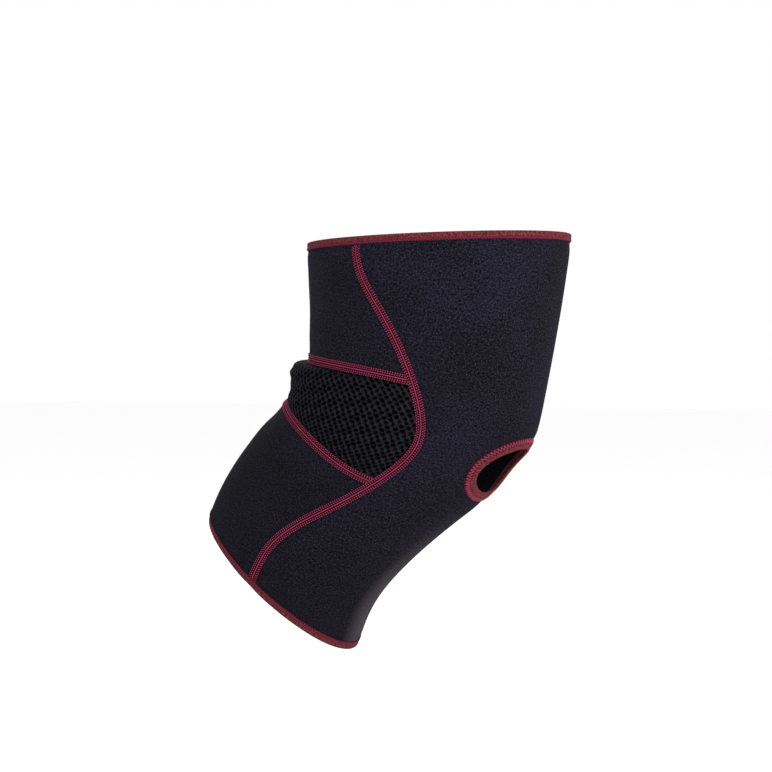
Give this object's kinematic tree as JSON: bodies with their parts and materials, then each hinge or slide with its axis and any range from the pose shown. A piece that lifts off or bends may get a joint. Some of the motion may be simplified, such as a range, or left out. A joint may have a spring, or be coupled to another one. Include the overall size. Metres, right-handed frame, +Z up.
{
  "type": "knee brace",
  "caption": "Elastic open-patella knee support: a bent tubular sleeve with curved side seams, a mesh panel behind the knee and bound edges.",
  "frame": {"origin": "centre of the knee, inside the sleeve, where the wearer's leg passes through", "axes": "+X points forward to the kneecap, +Z up along the thigh, +Y across the knee; the XZ plane is the mirror plane"},
  "size_m": [0.2258, 0.1352, 0.2429],
  "materials": {
    "neoprene": "matt knitted jersey on neoprene foam",
    "mesh": "open spacer mesh",
    "binding": "woven elastic tape",
    "seam_thread": "spun polyester thread",
    "binding_thread": "spun polyester thread"
  },
  "bodies": {
    "thigh": {"front_panel": "neoprene", "rear_thigh_panel": "neoprene", "popliteal_mesh_panel": "mesh", "thigh_binding": "binding", "patella_binding": "binding", "lateral_seam_needle_thread": "seam_thread", "lateral_seam_looper_thread": "seam_thread", "medial_seam_needle_thread": "seam_thread", "medial_seam_looper_thread": "seam_thread", "upper_mesh_seam_needle_thread": "seam_thread", "upper_mesh_seam_looper_thread": "seam_thread", "thigh_binding_needle_thread": "binding_thread", "thigh_binding_bobbin_thread": "binding_thread", "patella_binding_needle_thread": "binding_thread", "patella_binding_bobbin_thread": "binding_thread"},
    "calf": {"rear_calf_panel": "neoprene", "lower_mesh_seam_needle_thread": "seam_thread", "lower_mesh_seam_looper_thread": "seam_thread", "calf_binding": "binding", "calf_binding_needle_thread": "binding_thread", "calf_binding_bobbin_thread": "binding_thread"}
  },
  "joints": [
    {"name": "knee_flex", "type": "hinge", "parent": "thigh", "child": "calf", "pos_m": [0.015, 0, -0.01], "axis": [0, 1, 0], "range_deg": [-40, 45], "stiffness_Nm_per_rad": 1.5, "deforming": ["front_panel", "rear_thigh_panel", "popliteal_mesh_panel", "rear_calf_panel", "patella_binding", "lateral_seam_needle_thread", "lateral_seam_looper_thread", "medial_seam_needle_thread", "medial_seam_looper_thread", "upper_mesh_seam_needle_thread", "upper_mesh_seam_looper_thread", "lower_mesh_seam_needle_thread", "lower_mesh_seam_looper_thread", "patella_binding_needle_thread", "patella_binding_bobbin_thread"]}
  ]
}
